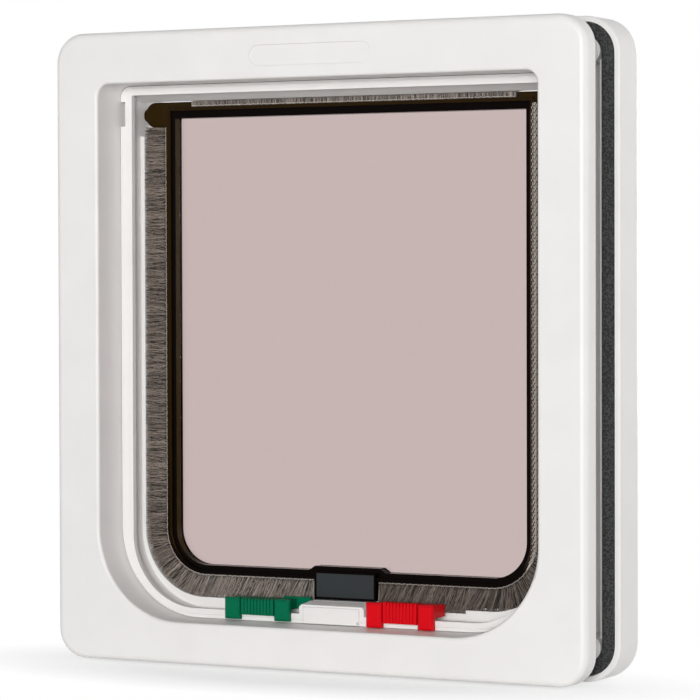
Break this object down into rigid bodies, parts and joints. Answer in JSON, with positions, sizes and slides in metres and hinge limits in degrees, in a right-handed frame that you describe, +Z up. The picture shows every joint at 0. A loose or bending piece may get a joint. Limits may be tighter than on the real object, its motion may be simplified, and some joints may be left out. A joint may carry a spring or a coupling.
{
  "type": "cat flap",
  "caption": "Door-mounted cat flap: white inner and outer frames, brush-edged tinted flap swinging both ways on side pins, magnetic closing and sliding lock catches on the sill.",
  "frame": {"origin": "middle of the inner frame's outline, on the door's indoor face where the frame's skirt meets it", "axes": "+X to the right seen from indoors, +Y through the door to the outdoor side, +Z up"},
  "size_m": [0.239, 0.0454, 0.2534],
  "materials": {
    "white_plastic": "satin white moulding",
    "foam": "matt closed-cell foam",
    "steel": "zinc plated",
    "magnet": "bare ferrite",
    "tinted_plastic": "clear brown-grey tint, polished",
    "grey_plastic": "satin",
    "brush_pile": "short upright pile",
    "green_plastic": "gloss",
    "red_plastic": "gloss"
  },
  "bodies": {
    "frame": {"front_frame": "white_plastic", "rear_frame": "white_plastic", "foam_gasket": "foam", "fixing_screws": "steel", "frame_magnet": "magnet", "magnet_cover": "white_plastic"},
    "flap": {"flap": "tinted_plastic", "flap_magnet": "magnet", "flap_magnet_cap": "grey_plastic", "brush_top": "brush_pile", "brush_left": "brush_pile", "brush_right": "brush_pile"},
    "green_catch": {"green_catch": "green_plastic"},
    "red_catch": {"red_catch": "red_plastic"}
  },
  "joints": [
    {"name": "flap_swing", "type": "hinge", "parent": "frame", "child": "flap", "pos_m": [0, 0.0242, 0.0939], "axis": [1, 0, 0], "range_deg": [-85, 85]},
    {"name": "green_catch_slide", "type": "slide", "parent": "frame", "child": "green_catch", "axis": [1, 0, 0], "range_m": [-0.002, 0.0042]},
    {"name": "red_catch_slide", "type": "slide", "parent": "frame", "child": "red_catch", "axis": [-1, 0, 0], "range_m": [-0.002, 0.0037]}
  ]
}
